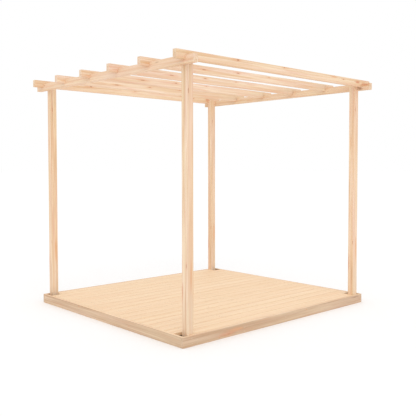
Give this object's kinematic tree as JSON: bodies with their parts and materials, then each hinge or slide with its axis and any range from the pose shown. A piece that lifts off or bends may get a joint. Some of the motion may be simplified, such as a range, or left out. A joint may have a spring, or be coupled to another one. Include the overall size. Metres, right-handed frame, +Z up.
{
  "type": "wooden garden pergola with a low deck",
  "caption": "Open square garden pergola of pale planed softwood: corner posts stand in a low timber deck and carry side beams crossed by evenly spaced notched rafters.",
  "frame": {"origin": "centre of the footprint at ground level, the underside of the posts and of the deck frame", "axes": "+Z up, X along the rafters and deck boards, Y along the two beams; the front is at -Y and the left side at -X"},
  "size_m": [2.808, 2.738, 2.513],
  "materials": {
    "posts": "planed pale softwood, upright grain, a few dark knots, bare and matt",
    "roof_timber": "planed pale softwood, grain along each timber, reddish knots, square-cut ends, bare and matt",
    "deck_frame": "planed softwood, slightly darker, grain along the board, bare and matt",
    "deck_boards": "planed pale softwood boards, faint grain, bare and matt",
    "deck_joists": "rough-sawn softwood, bare and matt"
  },
  "bodies": {
    "root": {"post_front_left": "posts", "post_front_right": "posts", "post_back_left": "posts", "post_back_right": "posts", "beam_left": "roof_timber", "beam_right": "roof_timber", "rafter_1": "roof_timber", "rafter_2": "roof_timber", "rafter_3": "roof_timber", "rafter_4": "roof_timber", "rafter_5": "roof_timber", "rafter_6": "roof_timber", "frame_front": "deck_frame", "frame_back": "deck_frame", "frame_left": "deck_frame", "frame_right": "deck_frame", "joist_1": "deck_joists", "joist_2": "deck_joists", "joist_3": "deck_joists", "joist_4": "deck_joists", "joist_5": "deck_joists", "bearer_left": "deck_joists", "bearer_right": "deck_joists", "deck_board_01": "deck_boards", "deck_board_02": "deck_boards", "deck_board_03": "deck_boards", "deck_board_04": "deck_boards", "deck_board_05": "deck_boards", "deck_board_06": "deck_boards", "deck_board_07": "deck_boards", "deck_board_08": "deck_boards", "deck_board_09": "deck_boards", "deck_board_10": "deck_boards", "deck_board_11": "deck_boards", "deck_board_12": "deck_boards", "deck_board_13": "deck_boards", "deck_board_14": "deck_boards", "deck_board_15": "deck_boards", "deck_board_16": "deck_boards", "deck_board_17": "deck_boards", "deck_board_18": "deck_boards", "deck_board_19": "deck_boards"}
  },
  "joints": []
}
